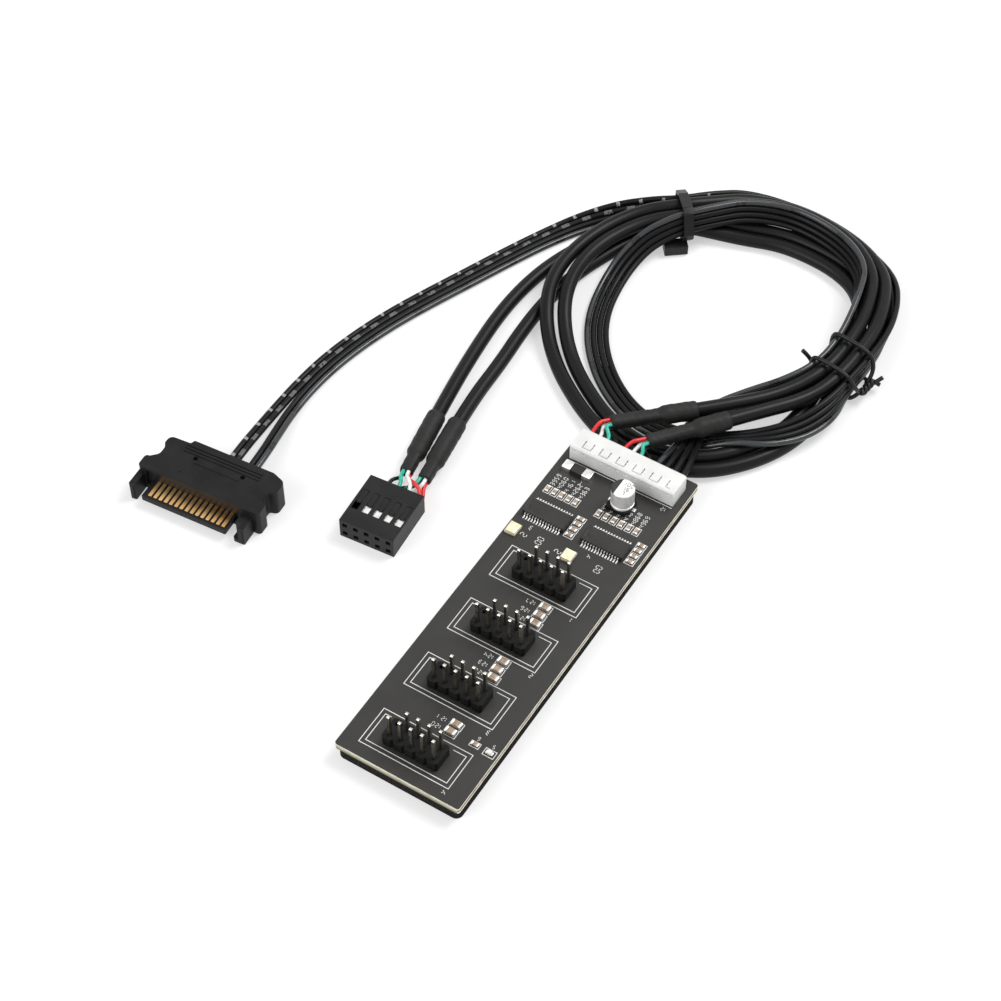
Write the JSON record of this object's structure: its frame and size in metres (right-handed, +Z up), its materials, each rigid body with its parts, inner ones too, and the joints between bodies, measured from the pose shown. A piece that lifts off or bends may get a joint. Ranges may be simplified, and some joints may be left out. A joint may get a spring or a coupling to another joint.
{
  "type": "internal usb hub",
  "caption": "Flat internal hub board with upright pin headers on a foam pad, its coiled cables ending in a header socket and a flat power plug.",
  "frame": {"origin": "centre of the foam pad's underside", "axes": "+Z up out of the board, +Y along the board towards its wire connector, +X across the board"},
  "size_m": [0.1211, 0.1801, 0.0131],
  "materials": {
    "board_mask": "matte black board mask with pale printed lines and a pale laminate edge",
    "foam": "dark open-cell foam",
    "header_plastic": "moulded black plastic",
    "pin_metal": "bright plated pins",
    "wafer_white": "moulded off-white plastic",
    "chip_black": "moulded dark grey chip body",
    "tin": "bright tinned metal",
    "crystal_case": "ceramic base",
    "crystal_lid": "plated metal lid",
    "can_silver": "satin drawn can",
    "ceramic_tan": "fired ceramic",
    "lens_clear": "cast lens",
    "cable_black": "black cable jacket",
    "conductor_grey": "grey wire insulation",
    "sleeve_black": "black shrunk sleeve",
    "wire_red": "red wire insulation",
    "wire_white": "white wire insulation",
    "wire_green": "green wire insulation",
    "wire_black": "black wire insulation",
    "socket_black": "moulded black plastic",
    "plug_black": "moulded black plastic",
    "contact_gold": "gold plated contacts",
    "tie_black": "black nylon and coated tie wire"
  },
  "bodies": {
    "root": {"circuit_board": "board_mask", "foam_pad": "foam", "hub_chip_1": "chip_black", "hub_chip_2": "chip_black", "hub_chip_leads": "tin", "crystal_cases": "crystal_case", "crystal_lids": "crystal_lid", "capacitor_base": "header_plastic", "capacitor_can": "can_silver", "capacitor_terminals": "tin", "input_component_body": "chip_black", "input_component_ends": "tin", "port_capacitor_bodies": "ceramic_tan", "port_capacitor_ends": "tin", "small_chip_bodies": "ceramic_tan", "small_chip_ends": "tin", "indicator_base": "wafer_white", "indicator_lens": "lens_clear", "indicator_ends": "tin", "wire_wafer": "wafer_white", "wafer_pins": "tin", "wire_plug": "wafer_white", "wire_plug_terminals": "tin", "socket_housing": "socket_black", "socket_terminals": "tin", "power_plug_body": "plug_black", "power_plug_cover": "plug_black", "power_plug_contacts": "contact_gold", "usb_cable_outer": "cable_black", "usb_cable_inner": "cable_black", "power_wire_grey": "conductor_grey", "power_wire_black_1": "cable_black", "power_wire_black_2": "cable_black", "power_wire_black_3": "cable_black", "cable_tie": "tie_black", "twist_tie": "tie_black", "header_base_1": "header_plastic", "header_pins_1": "pin_metal", "header_base_2": "header_plastic", "header_pins_2": "pin_metal", "header_base_3": "header_plastic", "header_pins_3": "pin_metal", "header_base_4": "header_plastic", "header_pins_4": "pin_metal", "board_sleeve_inner": "sleeve_black", "board_sleeve_outer": "sleeve_black", "board_wires_red": "wire_red", "board_wires_white": "wire_white", "board_wires_green": "wire_green", "board_wires_black": "wire_black", "socket_sleeve_inner": "sleeve_black", "socket_sleeve_outer": "sleeve_black", "socket_wires_red": "wire_red", "socket_wires_white": "wire_white", "socket_wires_green": "wire_green", "socket_wires_black": "wire_black"}
  },
  "joints": []
}
